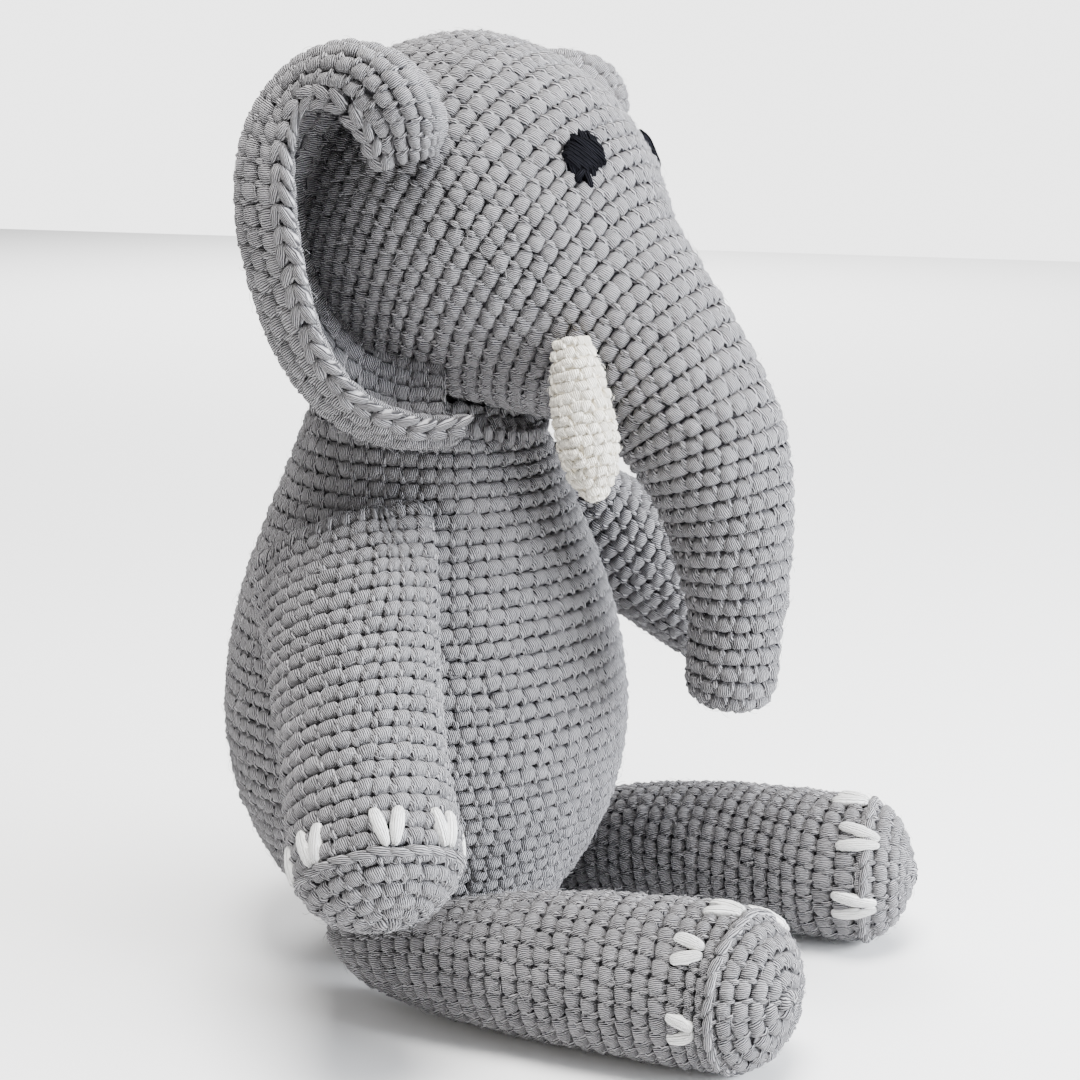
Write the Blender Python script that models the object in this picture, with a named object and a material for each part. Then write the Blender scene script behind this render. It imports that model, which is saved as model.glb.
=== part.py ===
"""Seated crocheted elephant: every cover, wad of filling, seam yarn and embroidered piece as its own solid.

Frame: +Z up, the face looks along -Y, the elephant's left side is +X, and it sits on the plane Z = 0.
Places are written as (side, forward, up) in millimetres, where forward means -Y.
"""
import math
import bmesh
import bpy
from mathutils import Matrix, Vector

MM = 0.001
FABRIC = 2.4            # thickness of the crocheted fabric
GAP = 0.4               # air left between touching pieces
YARN = 1.0              # radius of the seam yarn
SHARP_ANGLE = 50.0      # edges sharper than this stay crisp
BODY_SIDES = 20
LIMB_SIDES = 14
TUSK_SIDES = 12

# Body: a pear of revolution, (height, radius), open at the neck
BODY_PROFILE = [(0, 16.5), (3, 21), (8, 27), (14, 32.6), (22, 38.8), (32, 44.6), (45, 49.6), (56, 51.6),
                (66, 52), (80, 50.5), (95, 47.0), (108, 42.3), (120, 37.2), (130, 32.9), (137, 30.3)]
NECK_RINGS = [(1.0, 143.0, 28.0, 9.0), (2.0, 147.4, 25.4, 17.0)]   # forward, up, radius, tilt in degrees

# Head and trunk: one horn-shaped cover, (forward, up, radius) along its middle
HEAD_CENTRE = (13.3, 187.9)
HEAD_RADIUS = 46.0
HEAD_AXIS_DROP = 22.0
HEAD_RINGS = [(25.0, 182.6, 43.8), (36.2, 174.8, 37.8), (47.3, 166.6, 29.2), (57.5, 160.4, 24.0)]
TRUNK_ROOT = (66.0, 153.2, 21.4)
TRUNK_BALL = 18.5
TRUNK_RINGS = [(72.6, 145.8, 20.2), (76.6, 137.8, 19.2), (80.2, 128.3, 16.8), (82.6, 118.6, 15.0),
               (83.8, 108.0, 13.4), (84.4, 97.0, 11.0), (84.2, 86.0, 10.6), (83.2, 77.5, 11.0)]
TRUNK_TIP = (82.8, 73.6)
TRUNK_TIP_RADIUS = 7.6

# Limbs
LIMB_RADIUS = 18.8
ARM_RINGS = [(0.0, 24.5, 4.6, 7.0), (0.10, 24.2, 7.2, 6.0), (0.26, 22.6, 10.8, 4.0), (0.45, 20.6, 14.3, 2.0),
             (0.65, 19.2, 17.0, 0.6), (0.84, 18.8, 18.6, 0.0)]  # share of length, half width, half depth, bow
FOOT_RINGS = [(0.0, 1.0), (5.0, 0.965), (9.0, 0.86), (12.0, 0.66), (14.0, 0.4), (15.0, 0.16)]
LEG_RINGS = [(39.0, 0.5, 10.6, 11.6, 4.6), (44.4, 8.0, 12.2, 12.8, 7.2), (46.2, 19.0, 13.8, 14.0, 10.0),
             (46.6, 32.0, 15.6, 15.3, 13.6), (46.3, 48.0, 17.3, 17.0, 16.4), (45.6, 68.0, 18.5, 18.3, 18.0),
             (44.8, 88.0, 19.0, 18.9, 18.9)]                    # side, forward, up, half width, half depth
FOOT_CENTRE = (44.3, 100.3, 19.2)
LEG_REACH = {"right": 0.0, "left": 2.5}
PAW_NAIL_TURN = {"right": -37.0, "left": 37.0}
SHOULDERS = {"right": {"back": (-39.0, -23.0, 107.0), "front": (-31.0, 22.0, 123.5),
                       "mid": (-46.0, -1.0, 117.5), "paw": (-83.5, 31.0, 52.5)},
             "left": {"back": (41.0, -17.0, 105.0), "front": (25.0, 24.0, 132.0),
                      "mid": (43.5, 4.0, 118.0), "paw": (90.0, 50.0, 76.0)}}
NAIL_ANGLES = (-100, -50, 0, 50, 100)
NAIL_SIZE = (4.4, 2.4, 1.1)     # half length, half width, half height
NAIL_BACK = {"arm": 1.2, "leg": 0.5}     # how far behind the widest ring the nails are centred

# Ears: (side, forward, up) of the fold base, the outer bulge and the free rim, front lobe to lower tip
EAR_STATIONS = [((42.9, 21.0, 207.0), (48.5, 25.0, 205.5), (52.0, 17.5, 203.5)),
                ((41.0, 24.0, 214.0), (57.0, 29.5, 216.5), (60.0, 17.5, 212.0)),
                ((38.5, 18.0, 221.0), (58.0, 21.0, 226.5), (62.5, 12.0, 218.0)),
                ((36.5, 5.0, 223.0), (55.0, 4.0, 227.0), (63.0, 4.0, 216.5)),
                ((39.0, -7.0, 212.0), (57.0, -9.5, 215.5), (64.5, 1.0, 208.0)),
                ((41.5, -12.0, 197.0), (58.0, -14.8, 198.0), (65.5, 1.0, 196.0)),
                ((41.0, -11.0, 181.0), (57.5, -13.0, 180.0), (64.5, 3.0, 181.5)),
                ((38.5, -7.0, 165.0), (54.5, -7.5, 163.5), (61.5, 8.5, 166.0)),
                ((34.0, 1.0, 152.0), (48.5, 2.0, 150.5), (54.5, 17.0, 154.5)),
                ((31.5, 11.0, 146.5), (42.0, 15.0, 143.8), (46.0, 26.0, 148.5)),
                ((31.5, 22.0, 146.0), (37.5, 26.0, 143.4), (39.5, 32.0, 146.8))]
EAR_THICKNESS = 4.6

TUSK_FABRIC = 1.6
TUSK_ROOT = (-30.5, 54.0, 164.5)
TUSK_TIP = (-34.5, 62.5, 127.0)
TUSK_RINGS = [(0.0, 3.6), (0.12, 5.0), (0.3, 6.6), (0.55, 7.2), (0.75, 6.7), (0.9, 4.7), (0.98, 2.0)]
EYE_PLACE = (19.6, 50.0, 206.0)
EYE_RADIUS = 5.4
EYE_HEIGHT = 1.5
COLOURS = {"grey": (0.30, 0.295, 0.31), "fill": (0.86, 0.86, 0.84), "cream": (0.80, 0.76, 0.66),
           "white": (0.86, 0.85, 0.81), "black": (0.012, 0.012, 0.016)}


def place(side, forward, up):
    """World position in metres of a point given as (side, forward, up) in millimetres."""
    return Vector((side, -forward, up)) * MM


def direction(side, forward, up):
    return Vector((side, -forward, up)).normalized()


def clear_scene():
    for item in list(bpy.data.objects):
        bpy.data.objects.remove(item, do_unlink=True)


def material(colour):
    made = bpy.data.materials.get(colour) or bpy.data.materials.new(colour)
    made.use_nodes = True
    shader = made.node_tree.nodes["Principled BSDF"]
    shader.inputs["Base Color"].default_value = (*COLOURS[colour], 1.0)
    shader.inputs["Roughness"].default_value = 0.92
    shader.inputs["Metallic"].default_value = 0.0
    return made


def finish(name, mesh_builder, origin, colour):
    """Turn a bmesh in world metres into a named object whose origin sits at the given world point."""
    bmesh.ops.recalc_face_normals(mesh_builder, faces=mesh_builder.faces)
    bmesh.ops.translate(mesh_builder, verts=mesh_builder.verts, vec=-origin)
    mesh = bpy.data.meshes.new(name)
    mesh_builder.to_mesh(mesh)
    mesh_builder.free()
    mesh.shade_smooth()
    mesh.set_sharp_from_angle(angle=math.radians(SHARP_ANGLE))
    made = bpy.data.objects.new(name, mesh)
    made.location = origin
    made.data.materials.append(material(colour))
    bpy.context.scene.collection.objects.link(made)
    return made


def ring(build, centre, axis, wide, half_wide, half_deep, sides, bow=0.0):
    """Add one oval ring of vertices; bow bends its long axis into a shallow arch."""
    axis = axis.normalized()
    wide = (wide - axis * wide.dot(axis)).normalized()
    deep = axis.cross(wide)
    vertices = []
    for step in range(sides):
        angle = 2 * math.pi * step / sides
        along = math.cos(angle)
        height = half_deep * math.sin(angle) - bow * along * along
        vertices.append(build.verts.new(centre + (wide * half_wide * along + deep * height) * MM))
    return vertices


def join_rings(build, rings):
    for first, second in zip(rings, rings[1:]):
        count = len(first)
        for step in range(count):
            following = (step + 1) % count
            build.faces.new((first[step], first[following], second[following], second[step]))


def cap(build, vertices, reverse=False):
    build.faces.new(list(reversed(vertices)) if reverse else vertices)


def tube(stations, sides, open_start=False):
    """Bridge oval rings into a closed bag, or into a bag that is open at its first ring."""
    build = bmesh.new()
    rings = [ring(build, *station[:5], sides, *station[5:]) for station in stations]
    join_rings(build, rings)
    if not open_start:
        cap(build, rings[0], reverse=True)
    cap(build, rings[-1])
    return build


def hollow(made, thickness=FABRIC):
    """Give an open bag its fabric thickness, measured inwards."""
    wall = made.modifiers.new("fabric", "SOLIDIFY")
    wall.thickness = thickness * MM
    wall.offset = -1.0
    wall.use_rim = True
    wall.use_even_offset = False
    return made


def filling(name, stations, sides, origin, skip, amount=FABRIC + GAP):
    """The wad inside a cover: the cover's rings pushed inwards, starting after the first few."""
    build = bmesh.new()
    rings = [ring(build, *station[:5], sides, *station[5:]) for station in stations]
    join_rings(build, rings)
    cap(build, rings[-1])
    bmesh.ops.recalc_face_normals(build, faces=build.faces)
    build.normal_update()
    inward = {vertex: vertex.normal.copy() for vertex in build.verts}
    for vertex, normal in inward.items():
        vertex.co -= normal * amount * MM
    bmesh.ops.delete(build, geom=[v for row in rings[:skip] for v in row], context="VERTS")
    cap(build, rings[skip], reverse=True)
    return finish(name, build, origin, "fill")


def body_radius(height):
    for (low, low_radius), (high, high_radius) in zip(BODY_PROFILE, BODY_PROFILE[1:]):
        if low <= height <= high:
            share = (height - low) / (high - low)
            return low_radius + share * (high_radius - low_radius)
    return BODY_PROFILE[-1][1]


def body_stations(profile, with_neck):
    sideways = Vector((1, 0, 0))
    upward = Vector((0, 0, 1))
    stations = [(place(0, 0, up), upward, sideways, radius, radius) for up, radius in profile]
    for forward, up, radius, tilt in NECK_RINGS if with_neck else []:
        axis = direction(0, math.sin(math.radians(tilt)), math.cos(math.radians(tilt)))
        stations.append((place(0, forward, up), axis, sideways, radius, radius))
    return stations


def make_body():
    outer = list(reversed(body_stations(BODY_PROFILE, with_neck=True)))
    outer = [(centre, -axis, wide, a, b) for centre, axis, wide, a, b in outer]
    hollow(finish("body_cover", tube(outer, BODY_SIDES, open_start=True), place(0, 0, 0), "grey"))
    filling("body_stuffing", outer, BODY_SIDES, place(0, 0, 0), skip=len(NECK_RINGS))


def make_neck():
    """The firm wad under the head, a dish turned about the upright axis, and the seam yarn round it."""
    wad = bmesh.new()
    forward, centre_up = HEAD_CENTRE
    seat = HEAD_RADIUS + 2 * GAP
    rings = []
    upward = Vector((0, 0, 1))
    for radius in (3.0, 6.5, 9.5):
        up = centre_up - math.sqrt(seat * seat - radius * radius) - 0.3
        rings.append(ring(wad, place(0, forward, up), upward, Vector((1, 0, 0)), radius, radius, LIMB_SIDES))
    rings.append(ring(wad, place(0, forward, 138.4), upward, Vector((1, 0, 0)), 9.5, 9.5, LIMB_SIDES))
    join_rings(wad, rings)
    cap(wad, rings[0])
    cap(wad, rings[-1], reverse=True)
    finish("neck_stuffing", wad, place(0, *HEAD_CENTRE), "fill")
    rim_forward, rim_up, rim_radius, tilt = NECK_RINGS[-1]
    points = []
    for step in range(BODY_SIDES):
        angle = 2 * math.pi * step / BODY_SIDES
        axis_up = math.cos(math.radians(tilt))
        axis_forward = math.sin(math.radians(tilt))
        radius = rim_radius + 1.7
        side = radius * math.cos(angle)
        run = radius * math.sin(angle)
        lift = 0.9
        point = Vector((side, -(rim_forward + run * axis_up + lift * axis_forward),
                        rim_up - run * axis_forward + lift * axis_up))
        centre = Vector((0, -forward, centre_up))
        reach = HEAD_RADIUS + YARN + GAP
        away = point - centre
        if away.length < reach:
            point = centre + away.normalized() * reach
        points.append(point * MM)
    yarn("neck_seam", points, "grey", closed=True)


def yarn(name, points, colour, closed=False, radius=YARN):
    """A strand of seam yarn: a bevelled curve with filled ends."""
    curve = bpy.data.curves.new(name, "CURVE")
    curve.dimensions = "3D"
    curve.bevel_depth = radius * MM
    curve.bevel_resolution = 1
    curve.use_fill_caps = True
    spline = curve.splines.new("POLY")
    spline.points.add(len(points) - 1)
    origin = points[0]
    for slot, point in zip(spline.points, points):
        slot.co = (*(point - origin), 1.0)
    spline.use_cyclic_u = closed
    made = bpy.data.objects.new(name, curve)
    made.location = origin
    made.data.materials.append(material(colour))
    bpy.context.scene.collection.objects.link(made)
    return made


def horn_stations(rows):
    """Rings along a middle line in the plane of symmetry, each square to that line."""
    stations = []
    for index, (forward, up, radius) in enumerate(rows):
        before = rows[max(index - 1, 0)]
        after = rows[min(index + 1, len(rows) - 1)]
        axis = direction(0, after[0] - before[0], after[1] - before[1])
        stations.append((place(0, forward, up), axis, Vector((1, 0, 0)), radius, radius))
    return stations


def head_rows(radius, rings=6):
    """Back half of the head ball, from its pole to its widest ring."""
    drop = math.radians(HEAD_AXIS_DROP)
    rows = []
    for step in range(rings):
        polar = math.radians(12 + (90 - 12) * step / (rings - 1))
        back = radius * math.cos(polar)
        forward = HEAD_CENTRE[0] - back * math.cos(drop)
        up = HEAD_CENTRE[1] + back * math.sin(drop)
        rows.append((forward, up, radius * math.sin(polar)))
    return rows


def make_head():
    rows = head_rows(HEAD_RADIUS) + HEAD_RINGS + [TRUNK_ROOT]
    outer = [(centre, -axis, wide, a, b) for centre, axis, wide, a, b in reversed(horn_stations(rows))]
    hollow(finish("head_cover", tube(outer, BODY_SIDES, open_start=True), place(0, *HEAD_CENTRE), "grey"))
    filling("head_stuffing", outer, BODY_SIDES, place(0, *HEAD_CENTRE), skip=3)


def make_trunk():
    """The trunk's root is a ball round the bend, held in the head cover's front opening."""
    forward, up, _ = TRUNK_ROOT
    after = TRUNK_RINGS[0]
    before = HEAD_RINGS[-1]
    slope = Vector((after[0] - before[0], after[1] - before[1])).normalized()
    rows = []
    for distance in (-14.0, -7.5, 0.0, 5.5):
        radius = math.sqrt(TRUNK_BALL ** 2 - distance ** 2)
        rows.append((forward + slope.x * distance, up + slope.y * distance, radius))
    skin = rows + TRUNK_RINGS + [(*TRUNK_TIP, TRUNK_TIP_RADIUS)]
    hinge = place(0, forward, up)
    hollow(finish("trunk_cover", tube(horn_stations(skin), LIMB_SIDES, open_start=True), hinge, "grey"))
    filling("trunk_stuffing", horn_stations(skin), LIMB_SIDES, hinge, skip=2)


def foot_stations(centre, axis, wide):
    """The rounded end of a limb, past its widest ring."""
    stations = []
    for distance, share in FOOT_RINGS:
        radius = LIMB_RADIUS * share
        stations.append((centre + axis * distance * MM, axis, wide, radius, radius))
    return stations


def make_limb(name, stations, hinge, end_centre, end_axis, nail_top):
    """One bag with its filling, and the toenails round its rounded end."""
    hollow(finish(name + "_cover", tube(stations, LIMB_SIDES, open_start=True), hinge, "grey"))
    filling(name + "_stuffing", stations, LIMB_SIDES, hinge, skip=2)
    nail_top = (nail_top - end_axis * nail_top.dot(end_axis)).normalized()
    across = end_axis.cross(nail_top)
    length, width, height = NAIL_SIZE
    back = NAIL_BACK[name.split("_")[1]]
    for number, angle in enumerate(NAIL_ANGLES, 1):
        turn = math.radians(angle)
        outward = nail_top * math.cos(turn) + across * math.sin(turn)
        middle = end_centre - end_axis * back * MM + outward * (LIMB_RADIUS + GAP + 0.35 + height) * MM
        build = bmesh.new()
        bmesh.ops.create_uvsphere(build, u_segments=6, v_segments=4, radius=1.0)
        turned = Matrix((end_axis, outward.cross(end_axis), outward)).transposed().to_4x4()
        sizes = Matrix.Diagonal((length * MM, width * MM, height * MM, 1.0))
        bmesh.ops.transform(build, verts=build.verts, matrix=Matrix.Translation(middle) @ turned @ sizes)
        finish(f"{name}_nail_{number}", build, hinge, "white")


def make_arm(side):
    spot = SHOULDERS[side]
    hinge = place(*spot["mid"])
    paw = place(*spot["paw"])
    down = (paw - hinge).normalized()
    length = (paw - hinge).length
    seam = (place(*spot["front"]) - place(*spot["back"])).normalized()
    seam = (seam - down * seam.dot(down)).normalized()
    outward = 1.0 if down.cross(seam).dot(direction(spot["mid"][0], 0, 0)) > 0 else -1.0
    stations = []
    for share, half_wide, half_deep, bow in ARM_RINGS:
        centre = hinge + down * length * share
        stations.append((centre, down, seam, half_wide, half_deep, bow * outward))
    stations += foot_stations(paw, down, seam)
    front = direction(spot["mid"][0] * 0.4, 1.0, 0.2)
    nail_top = Matrix.Rotation(math.radians(PAW_NAIL_TURN[side]), 3, down) @ front
    make_limb(f"{side}_arm", stations, hinge, paw, down, nail_top)
    arm_seam(side, spot)


def arm_seam(side, spot):
    """Seam yarn on the body, a few millimetres above the arm's upper edge."""
    points = []
    start = Vector(spot["back"])
    end = Vector(spot["front"])
    steps = 8
    for step in range(steps + 1):
        share = step / steps
        here = start.lerp(end, share)
        up = here.z + 4.0 + 5.0 * math.sin(math.pi * share)
        around = math.atan2(here.y, here.x)
        radius = body_radius(up) + YARN + GAP
        points.append(place(radius * math.cos(around), radius * math.sin(around), up))
    yarn(f"{side}_arm_seam", points, "grey")


def make_leg(side):
    sign = -1.0 if side == "right" else 1.0
    rows = [(sign * x, forward, up, a, b) for x, forward, up, a, b in LEG_RINGS]
    foot = place(sign * FOOT_CENTRE[0], FOOT_CENTRE[1] + LEG_REACH[side], FOOT_CENTRE[2])
    splay = direction(sign * 0.19, 1.0, 0.0)
    slant = Vector((sign * 0.7, 0.0, 0.7))
    hinge = place(sign * LEG_RINGS[0][0], LEG_RINGS[0][1] + 2.0, LEG_RINGS[0][2])
    stations = []
    for index, (x, forward, up, a, b) in enumerate(rows):
        before = place(*rows[max(index - 1, 0)][:3])
        after = place(*rows[index + 1][:3]) if index + 1 < len(rows) else foot
        stations.append((place(x, forward, up), (after - before).normalized(), slant, a, b))
    stations += foot_stations(foot, splay, slant)
    make_limb(f"{side}_leg", stations, hinge, foot, splay, Vector((0, 0, 1)))
    leg_seam(side, sign)


def leg_seam(side, sign):
    """Seam yarn on the body's underside, just behind the leg's sewn end."""
    points = []
    steps = 5
    for step in range(steps + 1):
        share = step / steps
        up = 4.5 + 15.0 * share
        forward = -15.0
        radius = body_radius(up) + YARN + GAP + 0.3
        points.append(place(sign * math.sqrt(radius ** 2 - forward ** 2), forward, up))
    yarn(f"{side}_leg_seam", points, "grey")


def smooth_row(points, steps):
    """Points along a smooth curve through the given points (Catmull-Rom)."""
    vectors = [place(*point) for point in points]
    padded = [vectors[0] * 2 - vectors[1]] + vectors + [vectors[-1] * 2 - vectors[-2]]
    row = []
    for index in range(len(vectors) - 1):
        p0, p1, p2, p3 = padded[index:index + 4]
        for step in range(steps):
            t = step / steps
            row.append(0.5 * (2 * p1 + (p2 - p0) * t + (2 * p0 - 5 * p1 + 4 * p2 - p3) * t * t
                              + (3 * p1 - p0 - 3 * p2 + p3) * t ** 3))
    row.append(vectors[-1])
    return row


def make_ear(side):
    """A cupped horseshoe of thick fabric: base along the head, bulge outside, free rim curling forward."""
    sign = -1.0 if side == "right" else 1.0
    lines = []
    for part in range(3):
        lines.append(smooth_row([(sign * s[part][0], s[part][1], s[part][2]) for s in EAR_STATIONS], 2))
    build = bmesh.new()
    across = 4
    grid = []
    for base, bulge, rim in zip(*lines):
        row = []
        for step in range(across + 1):
            t = step / across
            control = 2 * bulge - 0.5 * (base + rim)
            row.append(build.verts.new(base * (1 - t) ** 2 + control * 2 * t * (1 - t) + rim * t * t))
        grid.append(row)
    for first, second in zip(grid, grid[1:]):
        for step in range(across):
            build.faces.new((first[step], first[step + 1], second[step + 1], second[step]))
    hinge = place(sign * 38.0, 6.0, 186.0)
    made = finish(f"{side}_ear", build, hinge, "grey")
    wall = made.modifiers.new("fabric", "SOLIDIFY")
    wall.thickness = EAR_THICKNESS * MM
    wall.offset = 0.0
    wall.use_rim = True


def make_tusk(side):
    sign = 1.0 if side == "right" else -1.0
    root = place(sign * TUSK_ROOT[0], TUSK_ROOT[1], TUSK_ROOT[2])
    tip = place(sign * TUSK_TIP[0], TUSK_TIP[1], TUSK_TIP[2])
    axis = (tip - root).normalized()
    wide = Vector((1, 0, 0))
    stations = [(root.lerp(tip, share), axis, wide, radius, radius) for share, radius in TUSK_RINGS]
    bag = tube(stations, TUSK_SIDES, open_start=True)
    hollow(finish(f"{side}_tusk_cover", bag, root, "cream"), TUSK_FABRIC)
    filling(f"{side}_tusk_stuffing", stations, TUSK_SIDES, root, skip=1, amount=TUSK_FABRIC + GAP)


def make_eye(side):
    sign = -1.0 if side == "right" else 1.0
    centre = place(0, *HEAD_CENTRE)
    outward = (place(sign * EYE_PLACE[0], EYE_PLACE[1], EYE_PLACE[2]) - centre).normalized()
    middle = place(sign * EYE_PLACE[0], EYE_PLACE[1], EYE_PLACE[2]) + outward * (EYE_HEIGHT + 1.3) * MM
    build = bmesh.new()
    bmesh.ops.create_uvsphere(build, u_segments=12, v_segments=6, radius=1.0)
    turned = outward.to_track_quat("Z", "Y").to_matrix().to_4x4()
    sizes = Matrix.Diagonal((EYE_RADIUS * MM, EYE_RADIUS * MM, EYE_HEIGHT * MM, 1.0))
    bmesh.ops.transform(build, verts=build.verts, matrix=Matrix.Translation(middle) @ turned @ sizes)
    finish(f"{side}_eye", build, middle, "black")


def make_elephant():
    clear_scene()
    make_body()
    make_neck()
    make_head()
    make_trunk()
    for side in ("right", "left"):
        make_ear(side)
        make_tusk(side)
        make_eye(side)
        make_arm(side)
        make_leg(side)


make_elephant()
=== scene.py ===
# %% [markdown]
# # A crocheted elephant
#
# The real toy is worked in rounds of single crochet in a medium grey cotton yarn. Each bag (body, head with
# trunk, arms, legs, tusks) is packed with fibre filling and sewn to the next. It could be made as smooth
# bags with a bump map, but crochet is deep: a stitch stands more than a millimetre proud and throws a
# shadow on its neighbour. So every stitch is real geometry here, laid round by round on a stuffed skin.

# %% Load the frame
import math
import bpy
import numpy as np
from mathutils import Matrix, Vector
from mathutils.bvhtree import BVHTree


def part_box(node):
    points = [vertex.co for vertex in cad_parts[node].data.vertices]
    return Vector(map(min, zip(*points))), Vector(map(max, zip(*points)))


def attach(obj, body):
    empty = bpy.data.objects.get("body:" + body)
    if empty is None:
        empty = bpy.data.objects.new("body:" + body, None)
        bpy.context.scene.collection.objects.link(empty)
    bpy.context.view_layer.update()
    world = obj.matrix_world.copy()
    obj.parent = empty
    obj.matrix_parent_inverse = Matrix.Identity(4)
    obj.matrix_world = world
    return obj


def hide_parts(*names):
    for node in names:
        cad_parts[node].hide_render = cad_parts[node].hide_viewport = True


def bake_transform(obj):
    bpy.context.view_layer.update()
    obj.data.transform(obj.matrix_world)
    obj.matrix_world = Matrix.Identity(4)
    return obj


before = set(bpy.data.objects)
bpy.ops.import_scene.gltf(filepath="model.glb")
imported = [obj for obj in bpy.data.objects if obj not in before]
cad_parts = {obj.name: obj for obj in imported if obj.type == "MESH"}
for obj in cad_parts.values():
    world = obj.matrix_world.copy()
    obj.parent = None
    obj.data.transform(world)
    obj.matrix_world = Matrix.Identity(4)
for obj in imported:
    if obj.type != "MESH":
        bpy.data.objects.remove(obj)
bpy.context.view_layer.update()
bpy.ops.object.select_all(action="DESELECT")
MM = 0.001


def place(side, forward, up):
    """World position in metres of a point given in millimetres, where forward is towards the face."""
    return Vector((side, -forward, up)) * MM


SIGNS = {"right": -1, "left": 1}

# %% [markdown]
# ## Camera
#
# The toy is seen from its right, a little to the front and from just above its own height. The camera is
# placed by its angles round the toy, so the view can be read from three numbers.

# %% Camera
VIEW_TURN = -65.39
VIEW_LIFT = 11.43
VIEW_DISTANCE = 0.55076
VIEW_LENS = 73.4
view_target = place(0.0, 32.32, 109.54)
turn = math.radians(VIEW_TURN)
lift = math.radians(VIEW_LIFT)
looking = Vector((-math.sin(turn) * math.cos(lift), math.cos(turn) * math.cos(lift), -math.sin(lift)))
bpy.ops.object.camera_add(location=view_target - looking * VIEW_DISTANCE)
camera = bpy.context.object
camera.name = "camera"
camera.rotation_euler = looking.to_track_quat("-Z", "Y").to_euler()
camera.data.lens = VIEW_LENS
camera.data.sensor_width = 36.0
camera.data.clip_start = 0.01
camera.data.dof.use_dof = False
bpy.context.scene.camera = camera
print("camera at", [round(x, 3) for x in camera.location])

# %% [markdown]
# ## Floor and light
#
# A plain pale floor and soft lights: a large cool one in front, as from a window, which lights the belly
# and leaves small shadows between the rounds; a smaller one above, for the head and the shoulders; a weak
# warm one behind; and the white of the room all round. A last light falls on the far floor only, so that
# floor and room meet in the same white.

# %% Floor and light
def plain_material(name, colour, roughness):
    made = bpy.data.materials.new(name)
    made.use_nodes = True
    shader = made.node_tree.nodes["Principled BSDF"]
    shader.inputs["Base Color"].default_value = (*colour, 1.0)
    shader.inputs["Roughness"].default_value = roughness
    return made


FLOOR_DROP = 0.0001
FLOOR_WIDE = 5.0
ROOM_LIGHT = 0.55
ROOM_SEEN_BRIGHTER = 3.0
bpy.ops.mesh.primitive_plane_add(size=FLOOR_WIDE, location=(0.0, 0.0, -FLOOR_DROP))
floor = bpy.context.object
floor.name = "floor"
floor.data.materials.append(plain_material("pale_floor", (0.82, 0.82, 0.82), 0.9))


def soft_light(name, where, size, power, colour=(1.0, 1.0, 1.0)):
    """A square area light that looks at the toy's middle."""
    bpy.ops.object.light_add(type="AREA", location=where)
    made = bpy.context.object
    made.name = name
    made.data.size = size
    made.data.energy = power
    made.data.color = colour
    made.rotation_euler = (view_target - Vector(where)).to_track_quat("-Z", "Y").to_euler()
    return made


soft_light("window_light", (0.20, -1.10, 0.24), 0.90, 88.0, (0.90, 0.94, 1.0))
soft_light("top_light", (-0.14, -0.12, 0.95), 0.45, 27.0, (1.0, 0.985, 0.965))
soft_light("room_light", (-1.0, 0.25, 0.45), 0.6, 1.5, (1.0, 0.93, 0.86))
far_floor = (1.5, 0.7, 0.0)
back_light = soft_light("back_light", (1.7, 0.8, 1.3), 1.4, 100.0)
back_light.rotation_euler = (Vector(far_floor) - back_light.location).to_track_quat("-Z", "Y").to_euler()
world = bpy.data.worlds.new("room")
bpy.context.scene.world = world
world.use_nodes = True
room = world.node_tree.nodes["Background"]
room.inputs["Color"].default_value = (1.0, 1.0, 1.0, 1.0)
seen = world.node_tree.nodes.new("ShaderNodeLightPath")
level = world.node_tree.nodes.new("ShaderNodeMath")
level.operation = "MULTIPLY_ADD"
level.inputs[1].default_value = ROOM_SEEN_BRIGHTER
level.inputs[2].default_value = ROOM_LIGHT
world.node_tree.links.new(seen.outputs["Is Camera Ray"], level.inputs[0])
world.node_tree.links.new(level.outputs["Value"], room.inputs["Strength"])

# %% [markdown]
# ## Yarn
#
# Cotton yarn is a bundle of twisted plies with loose fibres between them. A picture of yarn would blur
# close up, so the material is built from bands: every strand carries a UV map that counts plies across it
# and millimetres along it. The bands dent the surface between plies, and the colour is painted darker in
# the dents as shade and lighter on the ridges as highlight. Two values stored on the mesh do the rest:
# "tone" makes each stitch a little lighter or darker, and "depth" says how far a point dives into the
# fabric, where little light comes; the colour is painted darker there as shade.

# %% Yarn material
def add_node(tree, kind, operation=None, **inputs):
    """A new shader node of a kind, with its number inputs set by name."""
    node = tree.nodes.new(kind)
    if operation:
        node.operation = operation
    for label, value in inputs.items():
        node.inputs[label.replace("_", " ")].default_value = value
    return node


def scale_and_add(tree, value, factor, rest):
    """A node socket with value x factor + rest, where value and rest are sockets."""
    node = add_node(tree, "ShaderNodeMath", "MULTIPLY_ADD")
    node.inputs[1].default_value = factor
    tree.links.new(value, node.inputs[0])
    tree.links.new(rest, node.inputs[2])
    return node.outputs["Value"]


def stored_value(tree, label):
    """The socket of a value stored on the mesh."""
    node = add_node(tree, "ShaderNodeAttribute")
    node.attribute_name = label
    return node.outputs["Fac"]


# Painted shade: yarn deep in the fabric gets a darker colour, as if little light reached it.
DEPTH_SHADE = -0.52     # how much darker yarn is at the bottom of the fabric
FIBRE_SHARE = 0.9       # height of the loose fibres against that of the plies


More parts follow.
